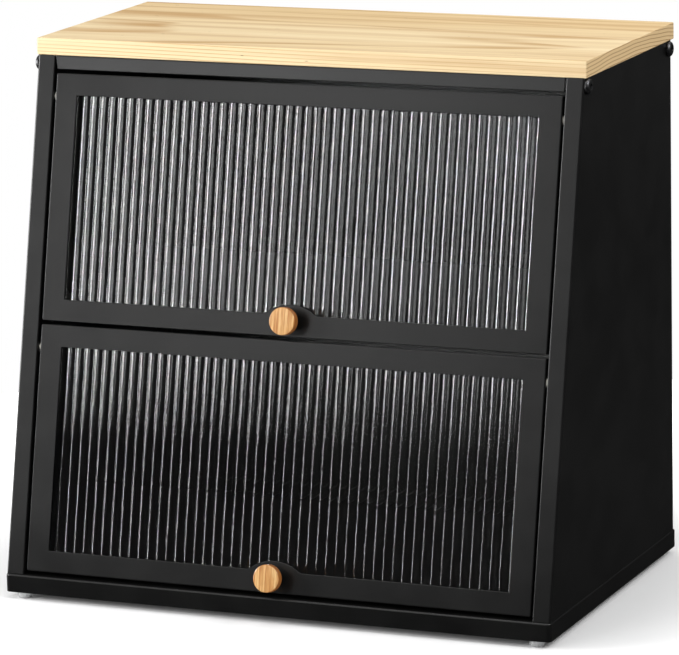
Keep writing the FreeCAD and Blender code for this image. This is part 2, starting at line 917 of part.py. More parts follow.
def make_window_tape(tier):
    """Ring of black adhesive tape between the frame and the pane, open at the knob."""
    name = tier + "_window_tape"
    body = new_body(name)
    left, right, low, high = pane_outline()
    start = face_y + dim.sheet
    add_block(body, "Y", start, dim.tape_thickness, rectangle(left, right, low, high))
    inner = window_half + dim.tape_setback
    cut_block(
        body, "Y", start, dim.tape_thickness,
        rectangle(-inner, inner, window_low - dim.tape_setback, window_high + dim.tape_setback),
    )
    cut_block(
        body, "Y", start, dim.tape_thickness,
        rectangle(
            -dim.notch_half_width, dim.notch_half_width, door_low, window_low
        ),
    )
    place(body, *pin_place(tier), *LEAN_BACK)
    keep(name, body)


def make_knob(tier):
    """Wooden disc on a black stem, held by a screw from inside the door."""
    where = on_front(door_foot[tier] + dim.knob_rise, dim.door_recess)
    knob_back = dim.stem_length
    knob_front = dim.stem_length + dim.knob_thickness
    bite_end = knob_back + dim.knob_screw_bite
    hole = dim.knob_screw_radius + dim.thread_play
    rim = dim.knob_radius - dim.knob_chamfer
    knob = turned(tier + "_knob", [
        (hole, knob_back),
        (rim, knob_back),
        (dim.knob_radius, knob_back + dim.knob_chamfer),
        (dim.knob_radius, knob_front - dim.knob_chamfer),
        (rim, knob_front),
        (0, knob_front),
        (0, bite_end + dim.thread_play),
        (hole, bite_end + dim.thread_play),
    ])
    stem = turned(tier + "_knob_stem", [
        (hole, 0), (dim.stem_radius, 0), (dim.stem_radius, knob_back), (hole, knob_back),
    ])
    head_front = -dim.sheet
    head_back = head_front - dim.knob_screw_head_height
    screw = turned(tier + "_knob_screw", [
        (0, head_back),
        (dim.knob_screw_head_radius, head_back),
        (dim.knob_screw_head_radius, head_front),
        (dim.knob_screw_radius, head_front),
        (dim.knob_screw_radius, bite_end),
        (0, bite_end),
    ])
    for piece in (knob, stem, screw):
        place(piece, *where, *OUT_OF_DOOR)
        keep(piece.Name, piece)


def make_hinge(tier):
    """Shouldered pin from inside the door, through the bush, into the side panel's channel."""
    where = pin_place(tier)
    bush_back = door_half - dim.sheet - dim.bush_flange
    head_front = bush_back - dim.hinge_gap
    head_back = head_front - dim.pin_head_height
    pin_end = flange_edge + dim.sheet + dim.nut_thickness
    pin = turned(tier + "_right_hinge_pin", [
        (0, head_back),
        (dim.pin_head_radius, head_back),
        (dim.pin_head_radius, head_front),
        (dim.pin_radius, head_front),
        (dim.pin_radius, pin_end),
        (0, pin_end),
    ])
    place(pin, *where, *ACROSS_X)
    keep(pin.Name, pin)
    left_name = tier + "_left_hinge_pin"
    keep(left_name, mirrored(pin, left_name))
    bore = dim.pin_radius + dim.pin_play
    bush = turned(tier + "_hinge_bush", [
        (bore, bush_back),
        (dim.bush_flange_radius, bush_back),
        (dim.bush_flange_radius, door_half - dim.sheet),
        (dim.bush_radius, door_half - dim.sheet),
        (dim.bush_radius, door_half + dim.bush_stand_out),
        (bore, door_half + dim.bush_stand_out),
    ])
    place(bush, *where, *ACROSS_X)
    group(tier + "_hinge_bushes", [bush])


def ring(name, radius, hole, start, length):
    return turned(name, [
        (hole, start), (radius, start), (radius, start + length), (hole, start + length),
    ])


def make_channel_fittings():
    """Nuts and stop studs on the returns of the side panels."""
    nuts = []
    studs = []
    channel = flange_edge + dim.sheet
    stud_end = door_half - dim.sheet - dim.stud_overlap
    for tier in door_foot:
        nut = ring(
            tier + "_hinge_nut", dim.nut_radius, dim.pin_radius + dim.thread_play,
            channel, dim.nut_thickness,
        )
        place(nut, *pin_place(tier), *ACROSS_X)
        nuts.append(nut)
        stud = turned(tier + "_stop_stud", [
            (0, stud_end),
            (dim.stud_radius, stud_end),
            (dim.stud_radius, channel),
            (dim.stud_head_radius, channel),
            (dim.stud_head_radius, channel + dim.stud_head_height),
            (0, channel + dim.stud_head_height),
        ])
        place(stud, *stud_place(tier), *ACROSS_X)
        studs.append(stud)
    group("hinge_nuts", nuts)
    group("door_stop_studs", studs)


def make_catches(tier):
    """Two magnetic catches on the lip; their magnets pull the steel door closed."""
    front = dim.door_recess + dim.sheet + dim.catch_gap
    low = door_foot[tier] + dim.catch_rise
    centre = (dim.catch_place, low + dim.catch_height / 2)
    catch = new_body(tier + "_catch")
    reach = dim.catch_width / 2
    add_block(catch, "Y", front, lip_depth - front, rectangle(
        dim.catch_place - reach, dim.catch_place + reach, low, low + dim.catch_height
    ))
    cut_holes(
        catch, "Y", front, dim.magnet_thickness, [centre], dim.magnet_radius + dim.thread_play
    )
    place(catch, 0, base_top, *LEAN_BACK)
    group(tier + "_door_catches", [catch])
    magnet = new_body(tier + "_magnet")
    sketch = sketch_across(magnet, "Y", front)
    draw_circle(sketch, *centre, dim.magnet_radius)
    extrude(magnet, sketch, "Pad", "Y", dim.magnet_thickness)
    place(magnet, 0, base_top, *LEAN_BACK)
    group(tier + "_catch_magnets", [magnet])


def domed_screw(name, seat, head_radius, head_height, dome, radius, length):
    """Screw with a domed head on its seat and a shank below it."""
    top = seat + head_height
    screw = turned(name, [
        (0, seat - length),
        (radius, seat - length),
        (radius, seat),
        (head_radius, seat),
        (head_radius, top),
        (0, top),
    ])
    round_edges(
        screw, dome,
        lambda edge: is_near(edge.BoundBox.ZMin, top) and is_near(edge.BoundBox.ZMax, top),
    )
    return screw


def hexagon(radius):
    """Six corners round the origin, the first of them across."""
    half = radius / 2
    flat = half * math.sqrt(3)
    return [(radius, 0), (half, flat), (-half, flat), (-radius, 0), (-half, -flat), (half, -flat)]


def cross(reach, half):
    """Twelve corners of an upright cross round the origin."""
    return [
        (reach, -half), (reach, half), (half, half), (half, reach), (-half, reach), (-half, half),
        (-reach, half), (-reach, -half), (-half, -half), (-half, -reach), (half, -reach),
        (half, -half),
    ]


def make_side_screws():
    """Button screws through the side panels into nuts on the top panel's side flanges."""
    screws = []
    nuts = []
    nut_start = web_inside - dim.sheet - dim.nut_thickness
    for index, where in enumerate(side_screw_places()):
        screw = domed_screw(
            f"side_screw_{index}", half_width, dim.side_screw_head_radius,
            dim.side_screw_head_height, dim.side_screw_dome, dim.side_screw_radius,
            dim.side_screw_length,
        )
        cut_block(
            screw, "Z", half_width + dim.side_screw_head_height - dim.side_screw_socket_depth,
            dim.side_screw_socket_depth, hexagon(dim.side_screw_socket_radius),
        )
        place(screw, *where, *ACROSS_X)
        screws.append(screw)
        nut = ring(
            f"side_nut_{index}", dim.side_nut_radius, dim.side_screw_radius + dim.thread_play,
            nut_start, dim.nut_thickness,
        )
        place(nut, *where, *ACROSS_X)
        nuts.append(nut)
    group("side_screws", screws)
    group("side_screw_nuts", nuts)


def make_board_screws():
    """Wood screws from below, through the top panel into the board."""
    screws = []
    plate = board_bottom - dim.sheet
    for index, (across, back) in enumerate(board_screw_places()):
        screw = turned(f"board_screw_{index}", [
            (0, plate - dim.board_screw_head_height),
            (dim.board_screw_head_radius, plate - dim.board_screw_head_height),
            (dim.board_screw_head_radius, plate),
            (dim.board_screw_radius, plate),
            (dim.board_screw_radius, board_bottom + dim.board_screw_bite),
            (0, board_bottom + dim.board_screw_bite),
        ])
        place(screw, back)
        bind(screw, "Placement.Base.x", across)
        screws.append(screw)
    group("board_screws", screws)


def make_back_screws():
    """Small screws that hold the back panel to the side panels' back flanges."""
    screws = []
    for index, height in enumerate(back_screw_heights()):
        screw = domed_screw(
            f"back_screw_{index}", dim.cabinet_depth, dim.back_screw_head_radius,
            dim.back_screw_head_height, dim.back_screw_dome, dim.back_screw_radius,
            dim.back_screw_length,
        )
        cut_block(
            screw, "Z", dim.cabinet_depth + dim.back_screw_head_height - dim.back_screw_cross_depth,
            dim.back_screw_cross_depth, cross(dim.back_screw_cross_reach, dim.back_screw_cross_half),
        )
        place(screw, 0, height, *OUT_OF_BACK)
        bind(screw, "Placement.Base.x", back_screw_x)
        screws.append(screw)
    group("back_screws", screws)


make_base_tray()
make_feet()
make_side_panels()
make_floor_panel()
make_middle_shelf()
make_top_panel()
make_back_panel()
make_wood_top()
for door in ("upper", "lower"):
    make_door_frame(door)
    make_window(door)
    make_window_tape(door)
    make_knob(door)
    make_hinge(door)
    make_catches(door)
make_channel_fittings()
make_side_screws()
make_board_screws()
make_back_screws()
doc.recompute()

for item in doc.Objects:
    if "Invalid" in item.State or "Error" in item.State:
        raise RuntimeError(f"{item.Name} failed: {item.State}")
for node, item in sub_parts.items():
    if item.Shape.isNull() or not item.Shape.isValid():
        raise RuntimeError(f"{node} has no valid shape")

os.makedirs("parts", exist_ok=True)
for node, item in sub_parts.items():
    item.Shape.exportStep(os.path.join("parts", node + ".step"))
    box = item.Shape.BoundBox
    print(
        f"{node}: {len(item.Shape.Solids)} solid, volume {item.Shape.Volume:.1f}, "
        f"X {box.XMin:.2f} to {box.XMax:.2f}, Y {box.YMin:.2f} to {box.YMax:.2f}, "
        f"Z {box.ZMin:.2f} to {box.ZMax:.2f}"
    )
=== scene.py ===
import math

import bmesh
import bpy
from mathutils import Matrix, Vector


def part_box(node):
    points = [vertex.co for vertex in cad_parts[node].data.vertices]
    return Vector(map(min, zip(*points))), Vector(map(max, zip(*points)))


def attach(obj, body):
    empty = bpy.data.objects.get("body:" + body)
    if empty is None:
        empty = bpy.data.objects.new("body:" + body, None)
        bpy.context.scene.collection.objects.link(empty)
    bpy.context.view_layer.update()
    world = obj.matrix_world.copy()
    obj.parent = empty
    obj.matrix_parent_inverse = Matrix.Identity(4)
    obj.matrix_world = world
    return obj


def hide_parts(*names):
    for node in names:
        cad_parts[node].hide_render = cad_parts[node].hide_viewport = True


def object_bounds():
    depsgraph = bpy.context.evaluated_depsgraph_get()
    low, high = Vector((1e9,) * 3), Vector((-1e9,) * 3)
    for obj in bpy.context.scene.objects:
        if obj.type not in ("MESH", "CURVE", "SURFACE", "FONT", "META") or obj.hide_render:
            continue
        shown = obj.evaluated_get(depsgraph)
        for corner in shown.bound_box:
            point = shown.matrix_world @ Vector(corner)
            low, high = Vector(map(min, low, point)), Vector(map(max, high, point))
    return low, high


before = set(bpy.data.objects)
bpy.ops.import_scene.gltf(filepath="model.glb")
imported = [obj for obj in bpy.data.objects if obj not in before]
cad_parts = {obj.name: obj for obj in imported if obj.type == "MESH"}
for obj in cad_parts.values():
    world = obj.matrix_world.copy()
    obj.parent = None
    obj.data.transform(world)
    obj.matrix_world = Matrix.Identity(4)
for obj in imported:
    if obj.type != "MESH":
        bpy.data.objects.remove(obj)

packed_low, packed_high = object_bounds()


# Base tray: a shallow lid of folded sheet steel with a rounded top edge, powder-coated black.
# The cabinet stands on it, and every other steel sheet of the box has the same coat, which is
# sprayed on as dry powder and baked, so it has a fine orange peel and softens each edge.
MILLIMETRE = 0.001
COAT_COLOUR = (0.0042, 0.0042, 0.0041)
COAT_THICK_SHADE = 0.75
COAT_THIN_SHADE = 1.35
COAT_PATCHES_PER_METRE = 35.0
COAT_ROUGHNESS = 0.29
COAT_UNEVENNESS = 0.08
COAT_GLOSS = 0.42
COAT_EDGE_RADIUS = 0.7 * MILLIMETRE
PEEL_PER_METRE = 900.0
PEEL_CRISPNESS = 0.6
PEEL_DEPTH = 0.003 * MILLIMETRE
EDGE_SAMPLES = 6


def blank_material(name):
    """A node material with its shader, and the piece's own coordinates to pattern it by."""
    material = bpy.data.materials.new(name)
    material.use_nodes = True
    shader = material.node_tree.nodes["Principled BSDF"]
    where = material.node_tree.nodes.new("ShaderNodeTexCoord").outputs["Object"]
    return material, shader, where


def link(material, source, target):
    material.node_tree.links.new(source, target)


def noise(material, where, scale, detail=2.0, roughness=0.5):
    """A cloud of values about a half, with lumps of 1 / scale metres."""
    cloud = material.node_tree.nodes.new("ShaderNodeTexNoise")
    cloud.inputs["Scale"].default_value = scale
    cloud.inputs["Detail"].default_value = detail
    cloud.inputs["Roughness"].default_value = roughness
    link(material, where, cloud.inputs["Vector"])
    return cloud.outputs["Fac"]


def ramp(material, value, stops):
    """Colours by value: each stop is a place from 0 to 1 and a colour."""
    band = material.node_tree.nodes.new("ShaderNodeValToRGB")
    band.color_ramp.interpolation = "EASE"
    while len(band.color_ramp.elements) < len(stops):
        band.color_ramp.elements.new(1)
    for element, (place, colour) in zip(band.color_ramp.elements, stops):
        element.position = place
        element.color = (*colour, 1)
    link(material, value, band.inputs["Fac"])
    return band.outputs["Color"]


def shades(material, value, first, last, start=0.3, end=0.7):
    """From a first colour to a last one, as a value rises from a start to an end."""
    return ramp(material, value, [(start, first), (end, last)])


def scaled(colour, factor):
    """A colour made darker or lighter by a factor, and never past white."""
    return tuple(min(1.0, factor * part) for part in colour)


def arithmetic(material, operation, first, second=0.0):
    """Two values, each a number or another node's output, through one sum."""
    node = material.node_tree.nodes.new("ShaderNodeMath")
    node.operation = operation
    for value, socket in zip((first, second), node.inputs):
        if isinstance(value, (int, float)):
            socket.default_value = value
        else:
            link(material, value, socket)
    return node.outputs[0]


def uneven_roughness(material, shader, value, smoothest, spread):
    """Roughness from its smoothest, where a value is 0, up by a spread, where it is 1."""
    rise = arithmetic(material, "MULTIPLY", value, spread)
    link(material, arithmetic(material, "ADD", rise, smoothest), shader.inputs["Roughness"])


def relief(material, shader, height, depth, edge_radius=0.0):
    """Bumps of a depth in metres, over edges that are eased by a radius."""
    bump = material.node_tree.nodes.new("ShaderNodeBump")
    bump.inputs["Distance"].default_value = depth
    link(material, height, bump.inputs["Height"])
    if edge_radius:
        eased = material.node_tree.nodes.new("ShaderNodeBevel")
        eased.samples = EDGE_SAMPLES
        eased.inputs["Radius"].default_value = edge_radius
        link(material, eased.outputs["Normal"], bump.inputs["Normal"])
    link(material, bump.outputs["Normal"], shader.inputs["Normal"])


def powder_coat():
    material, shader, where = blank_material("black_powder_coat")
    shader.inputs["Specular IOR Level"].default_value = COAT_GLOSS
    patches = noise(material, where, COAT_PATCHES_PER_METRE, detail=4.0)
    thick = scaled(COAT_COLOUR, COAT_THICK_SHADE)
    thin = scaled(COAT_COLOUR, COAT_THIN_SHADE)
    link(material, shades(material, patches, thick, thin), shader.inputs["Base Color"])
    uneven_roughness(material, shader, patches, COAT_ROUGHNESS, COAT_UNEVENNESS)
    peel = noise(material, where, PEEL_PER_METRE, detail=3.0, roughness=PEEL_CRISPNESS)
    relief(material, shader, peel, PEEL_DEPTH, COAT_EDGE_RADIUS)
    return material


def finish_node(name, material):
    """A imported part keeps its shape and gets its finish."""
    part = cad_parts[name]
    part.data.materials.clear()
    part.data.materials.append(material)


black_coat = powder_coat()
finish_node("base_tray", black_coat)


# Bumper feet: four clear soft-plastic domes, stuck under the corners of the tray by a film of
# glue. Moulded in one piece, flat where they stick, and flattened round a shallow dimple where
# they stand.
BUMPER_RADIUS = 5.0 * MILLIMETRE
BUMPER_HEIGHT = 4.5 * MILLIMETRE
BUMPER_SHOULDER = 1.6 * MILLIMETRE
BUMPER_STEPS = 8
DIMPLE_RADIUS = 2.72 * MILLIMETRE
DIMPLE_DEPTH = 0.1 * MILLIMETRE
BUMPER_CLOUDY = (0.86, 0.88, 0.88)
BUMPER_MILKY = (0.94, 0.95, 0.95)
BUMPER_CLOUDS_PER_METRE = 400.0
BUMPER_CLEARNESS = 0.55
BUMPER_REFRACTION = 1.45
BUMPER_ROUGHNESS = 0.2
BUMPER_UNEVENNESS = 0.1
BUMPER_RELIEF = 0.01 * MILLIMETRE
TURNING_STEPS = 48
MERGE_DISTANCE = 1e-6
CREASE = math.radians(35)


def arc(centre, radius, start, end, steps):
    """Points of an arc in a turned profile, as radius and height; angles in degrees."""
    points = []
    for step in range(steps + 1):
        angle = math.radians(start + (end - start) * step / steps)
        points.append((centre[0] + radius * math.cos(angle), centre[1] + radius * math.sin(angle)))
    return points


def turn_profile(bm, profile):
    """Turns a profile of radius and height once round the Z axis."""
    rim = [bm.verts.new((radius, 0, height)) for radius, height in profile]
    edges = [bm.edges.new(pair) for pair in zip(rim, rim[1:])]
    bmesh.ops.spin(
        bm, geom=rim + edges, cent=(0, 0, 0), axis=(0, 0, 1), angle=math.tau,
        steps=TURNING_STEPS, use_merge=True,
    )
    bmesh.ops.remove_doubles(bm, verts=bm.verts, dist=MERGE_DISTANCE)
    bmesh.ops.recalc_face_normals(bm, faces=bm.faces)


def finish_piece(bm, name, material, body, node):
    """The modelled piece, shaded smooth up to its creases, riding on a body for its node."""
    mesh = bpy.data.meshes.new(name)
    bm.to_mesh(mesh)
    bm.free()
    mesh.shade_smooth()
    mesh.set_sharp_from_angle(angle=CREASE)
    mesh.materials.append(material)
    piece = bpy.data.objects.new(name, mesh)
    bpy.context.scene.collection.objects.link(piece)
    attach(piece, body)
    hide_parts(node)


def soft_clear_plastic():
    material, shader, where = blank_material("clear_bumper_plastic")
    shader.inputs["Transmission Weight"].default_value = BUMPER_CLEARNESS
    shader.inputs["IOR"].default_value = BUMPER_REFRACTION
    clouds = noise(material, where, BUMPER_CLOUDS_PER_METRE)
    milky = shades(material, clouds, BUMPER_CLOUDY, BUMPER_MILKY)
    link(material, milky, shader.inputs["Base Color"])
    uneven_roughness(material, shader, clouds, BUMPER_ROUGHNESS, BUMPER_UNEVENNESS)
    relief(material, shader, clouds, BUMPER_RELIEF)
    return material


bumper_plastic = soft_clear_plastic()
for foot in ("front_right", "front_left", "back_right", "back_left"):
    low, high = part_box(foot + "_foot")
    spot = ((low + high) / 2).to_2d().to_3d()
    shoulder = BUMPER_RADIUS - BUMPER_SHOULDER
    bm = bmesh.new()
    turn_profile(bm, [
        (0, DIMPLE_DEPTH),
        (DIMPLE_RADIUS, 0),
        *arc((shoulder, BUMPER_SHOULDER), BUMPER_SHOULDER, -90, 0, BUMPER_STEPS),
        (BUMPER_RADIUS, BUMPER_HEIGHT),
        (0, BUMPER_HEIGHT),
    ])
    bmesh.ops.translate(bm, verts=bm.verts, vec=spot)
    finish_piece(
        bm, foot + "_bumper", bumper_plastic, "cabinet", foot + "_foot"
    )


# Cabinet shell: two side panels with folded front flanges, a floor, a middle shelf and a top
# panel of 0.8 mm steel, spot-welded into a shell whose front leans back. The back panel is a
# separate sheet with two rows of vents for each tier. All are coated as the tray is.
for sheet in (
    "floor_panel", "left_side_panel", "right_side_panel", "middle_shelf", "top_panel",
    "back_panel",
):
    finish_node(sheet, black_coat)


# Back screws: eight small pan-head screws of steel, blackened in an oxide bath, with a cross
# recess. They hold the back panel to the flanges of the shell.
OXIDE_BLACK = (0.07, 0.07, 0.075)
OXIDE_RUBBED = (0.16, 0.16, 0.16)
OXIDE_PATCHES_PER_METRE = 700.0
OXIDE_ROUGHNESS = 0.22
OXIDE_UNEVENNESS = 0.3
OXIDE_RELIEF = 0.01 * MILLIMETRE
OXIDE_EDGE_RADIUS = 0.2 * MILLIMETRE


def blackened_steel():
    material, shader, where = blank_material("black_oxide_steel")
    shader.inputs["Metallic"].default_value = 1.0
    worn = noise(material, where, OXIDE_PATCHES_PER_METRE, detail=3.0)
    rubbed = shades(material, worn, OXIDE_BLACK, OXIDE_RUBBED, start=0.35, end=0.75)
    link(material, rubbed, shader.inputs["Base Color"])
    uneven_roughness(material, shader, worn, OXIDE_ROUGHNESS, OXIDE_UNEVENNESS)
    relief(material, shader, worn, OXIDE_RELIEF, OXIDE_EDGE_RADIUS)
    return material


black_screw = blackened_steel()
finish_node("back_screws", black_screw)


# Board screws, nuts, hinge pins and stop studs: turned steel, zinc-plated and passivated, so
# they are pale with a faint warm bloom. The studs stand inside the front flanges, where an open
# door comes to rest.
ZINC_BLOOM = (0.42, 0.41, 0.38)
ZINC_BRIGHT = (0.60, 0.60, 0.61)
ZINC_PATCHES_PER_METRE = 260.0
ZINC_ROUGHNESS = 0.2
ZINC_UNEVENNESS = 0.2
ZINC_RELIEF = 0.01 * MILLIMETRE
ZINC_EDGE_RADIUS = 0.25 * MILLIMETRE


def zinc_plate():
    material, shader, where = blank_material("zinc_plated_steel")
    shader.inputs["Metallic"].default_value = 1.0
    bloom = noise(material, where, ZINC_PATCHES_PER_METRE, detail=3.0)
    link(material, shades(material, bloom, ZINC_BLOOM, ZINC_BRIGHT), shader.inputs["Base Color"])
    uneven_roughness(material, shader, bloom, ZINC_ROUGHNESS, ZINC_UNEVENNESS)
    relief(material, shader, bloom, ZINC_RELIEF, ZINC_EDGE_RADIUS)
    return material


zinc = zinc_plate()
for fastener in (
    "board_screws", "side_screw_nuts", "hinge_nuts", "door_stop_studs",
    "upper_right_hinge_pin", "upper_left_hinge_pin", "lower_right_hinge_pin",
    "lower_left_hinge_pin", "upper_knob_screw", "lower_knob_screw",
):
    finish_node(fastener, zinc)


# Side screws: four black button-head screws that clamp the side panels to the top panel. The
# heads are cold-formed domes with a hexagon socket.
SCREW_HEAD_RADIUS = 5.1 * MILLIMETRE
SCREW_HEAD_HEIGHT = 2.9 * MILLIMETRE
SCREW_HEAD_CHAMFER = 0.3 * MILLIMETRE
SCREW_SHOULDER = 0.7 * MILLIMETRE
SCREW_CROWN_RADIUS = 2.6 * MILLIMETRE
SCREW_DOME_STEPS = 10
SCREW_SHANK_RADIUS = 2.5 * MILLIMETRE
SCREW_SHANK_LENGTH = 7.5 * MILLIMETRE
SOCKET_RADIUS = 2.1 * MILLIMETRE
SOCKET_DEPTH = 1.6 * MILLIMETRE
SOCKET_COUNTERSINK = 0.15 * MILLIMETRE
SOCKET_SIDES = 6


def button_screw(seat):
    """A button-head screw on a place on the panel, its head towards the Z of that place."""
    bm = bmesh.new()
    rise = SCREW_HEAD_HEIGHT - SCREW_SHOULDER
    reach = SCREW_HEAD_RADIUS - SCREW_CROWN_RADIUS
    dome = [
        (SCREW_CROWN_RADIUS + across * reach, SCREW_SHOULDER + up * rise)
        for across, up in arc((0, 0), 1, 0, 90, SCREW_DOME_STEPS)
    ]
    turn_profile(bm, [
        (0, -SCREW_SHANK_LENGTH),
        (SCREW_SHANK_RADIUS, -SCREW_SHANK_LENGTH),
        (SCREW_SHANK_RADIUS, 0),
        (SCREW_HEAD_RADIUS - SCREW_HEAD_CHAMFER, 0),
        (SCREW_HEAD_RADIUS, SCREW_HEAD_CHAMFER),
        *dome,
    ])
    crown = [edge for edge in bm.edges if edge.is_boundary]
    ring = bmesh.ops.create_circle(bm, segments=SOCKET_SIDES, radius=SOCKET_RADIUS)
    hexagon = list({edge for corner in ring["verts"] for edge in corner.link_edges})
    cuts = TURNING_STEPS // SOCKET_SIDES - 1
    split = bmesh.ops.subdivide_edges(bm, edges=hexagon, cuts=cuts)
    socket = {item for item in split["geom_split"] if isinstance(item, bmesh.types.BMEdge)}
    mouth = list({vert for edge in socket for vert in edge.verts})
    top = SCREW_HEAD_HEIGHT - SOCKET_COUNTERSINK
    bmesh.ops.translate(bm, verts=mouth, vec=(0, 0, top))
    bmesh.ops.bridge_loops(bm, edges=crown + list(socket))
    wall = bmesh.ops.extrude_edge_only(bm, edges=list(socket))["geom"]
    deep = [item for item in wall if isinstance(item, bmesh.types.BMVert)]
    bmesh.ops.translate(bm, verts=deep, vec=(0, 0, -SOCKET_DEPTH))
    bmesh.ops.holes_fill(bm, edges=[edge for edge in bm.edges if edge.is_boundary])
    bmesh.ops.recalc_face_normals(bm, faces=bm.faces)
    bmesh.ops.transform(bm, matrix=seat, verts=bm.verts)
    return bm


screws_low, screws_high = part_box("side_screws")
side_face = screws_high.x - SCREW_HEAD_HEIGHT
screw_up = (screws_low.z + screws_high.z) / 2
side_screws = bmesh.new()
for side in (1, -1):
    for back in (screws_low.y + SCREW_HEAD_RADIUS, screws_high.y - SCREW_HEAD_RADIUS):
        seat = Matrix.Translation((side * side_face, back, screw_up))
        outwards = Matrix.Rotation(side * math.pi / 2, 4, "Y")
        screw = button_screw(seat @ outwards)
        scratch = bpy.data.meshes.new("button_screw")
        screw.to_mesh(scratch)
        screw.free()
        side_screws.from_mesh(scratch)
        bpy.data.meshes.remove(scratch)
finish_piece(
    side_screws, "side_button_screws", black_screw, "cabinet", "side_screws"
)


# Board: one plank of pale pine, plain-sawn, planed and left matt, its long edges just eased.
# The rings lie nearly flat, so the top shows long wavy streaks and the ends fine brown lines.
# The grain runs along X, and every pattern below has its size in metres along X, Y and Z.
WHITE = (1.0, 1.0, 1.0)
BLACK = (0.0, 0.0, 0.0)
PITH = (0.1, 0.02, -0.5)
RING_SPACING = 2.5 * MILLIMETRE
RING_TAPER = 0.008
DRIFT = 3.5 * RING_SPACING
DRIFT_PATCHES = (0.8, 0.11, 0.11)
QUIVER = 0.5 * RING_SPACING
QUIVER_PATCHES = (0.4, 0.03, 0.03)
LATE_WOOD = ((0.0, BLACK), (0.62, BLACK), (0.9, WHITE), (0.97, BLACK))
STREAK_PATCHES = (0.16, 0.02, 0.02)
STREAK_FAINT = (0.25, 0.25, 0.25)
STREAK_STRONG = (0.95, 0.95, 0.95)
TONE_PATCHES = (0.35, 0.011, 0.011)
PINE_TAN = (0.74, 0.53, 0.29)
PINE_HONEY = (0.87, 0.68, 0.405)
PINE_PALE = (0.93, 0.755, 0.48)
PINE_TONES = ((0.3, PINE_TAN), (0.5, PINE_HONEY), (0.68, PINE_PALE))
PINE_LATE = (0.60, 0.37, 0.16)
PINE_END = (0.68, 0.49, 0.26)
PINE_END_LATE = (0.30, 0.16, 0.055)
END_FACING = 0.7
REAR_SHADE = (0.93, 0.87, 0.78)
REAR_SHADE_FROM = 0.02
REAR_SHADE_TO = 0.11
RESIN_PATCHES = (0.008, 0.0012, 0.0012)
RESIN_BROWN = (0.16, 0.08, 0.025)
FIBRE_PATCHES = (0.05, 0.0006, 0.0006)
FIBRE_SHADE = (0.94, 0.925, 0.90)
PINE_ROUGHNESS = 0.5
PINE_UNEVENNESS = 0.15
PINE_GLOSS = 0.3
PINE_RELIEF = 0.03 * MILLIMETRE
PINE_EDGE_RADIUS = 0.5 * MILLIMETRE


def in_patches(material, where, size, middle=(0, 0, 0), turn=(0, 0, 0)):
    """Coordinates from a middle, along turned axes, in patches of a size in metres."""
    mapping = material.node_tree.nodes.new("ShaderNodeMapping")
    mapping.vector_type = "TEXTURE"
    mapping.inputs["Location"].default_value = middle
    mapping.inputs["Rotation"].default_value = turn
    mapping.inputs["Scale"].default_value = size
    link(material, where, mapping.inputs["Vector"])
    return mapping.outputs["Vector"]


def streaks(material, where, patches, detail=2.0, roughness=0.5):
    """A cloud that is stretched into patches of a size."""
    return noise(material, in_patches(material, where, patches), 1.0, detail, roughness)


def mixed(material, share, first, second, kind="MIX"):
    """Two colours, by a share that is a number or another node's output."""
    node = material.node_tree.nodes.new("ShaderNodeMix")
    node.data_type = "RGBA"
    node.blend_type = kind
    colours = [socket for socket in node.inputs if socket.type == "RGBA"]
    for value, socket in zip((share, first, second), (node.inputs["Factor"], *colours)):
        if isinstance(value, bpy.types.NodeSocket):
            link(material, value, socket)
        elif isinstance(value, tuple):
            socket.default_value = (*value, 1)
        else:
            socket.default_value = value
    return next(socket for socket in node.outputs if socket.type == "RGBA")


def parts_of(material, vector):
    """The X, Y and Z of a vector."""
    node = material.node_tree.nodes.new("ShaderNodeSeparateXYZ")
    link(material, vector, node.inputs["Vector"])
    return node.outputs


def facing_of(material):
    """The X, Y and Z of the way that the piece's surface faces."""
    return parts_of(material, material.node_tree.nodes.new("ShaderNodeTexCoord").outputs["Normal"])


def growth_rings(material, where):
    """Runs from 0 to 1 across each ring of a log whose pith runs along X, far below."""
    along, back, up = parts_of(material, in_patches(material, where, (1, 1, 1), PITH))
    back_squared = arithmetic(material, "MULTIPLY", back, back)
    up_squared = arithmetic(material, "MULTIPLY", up, up)
    radius = arithmetic(material, "SQRT", arithmetic(material, "ADD", back_squared, up_squared))
    slow = streaks(material, where, DRIFT_PATCHES)
    quick = streaks(material, where, QUIVER_PATCHES, detail=1.0)
    for part in (
        arithmetic(material, "MULTIPLY", slow, DRIFT),
        arithmetic(material, "MULTIPLY", along, RING_TAPER),
        arithmetic(material, "MULTIPLY", quick, QUIVER),
    ):
        radius = arithmetic(material, "ADD", radius, part)
    return arithmetic(material, "FRACT", arithmetic(material, "DIVIDE", radius, RING_SPACING))


def pine_face(material, where, late):
    """The sawn face: streaks of late wood over pale wood, browner towards the rear."""
    tone = streaks(material, where, TONE_PATCHES, detail=3.0)
    early = ramp(material, tone, PINE_TONES)
    fading = streaks(material, where, STREAK_PATCHES)
    strength = shades(material, fading, STREAK_FAINT, STREAK_STRONG, start=0.35, end=0.65)
    streaked = mixed(material, arithmetic(material, "MULTIPLY", late, strength), early, PINE_LATE)
    _, back, _ = parts_of(material, where)
    past = arithmetic(material, "SUBTRACT", back, REAR_SHADE_FROM)
    share = arithmetic(material, "DIVIDE", past, REAR_SHADE_TO - REAR_SHADE_FROM)
    rear = shades(material, share, WHITE, REAR_SHADE, start=0.0, end=1.0)
    return mixed(material, 1.0, streaked, rear, "MULTIPLY")


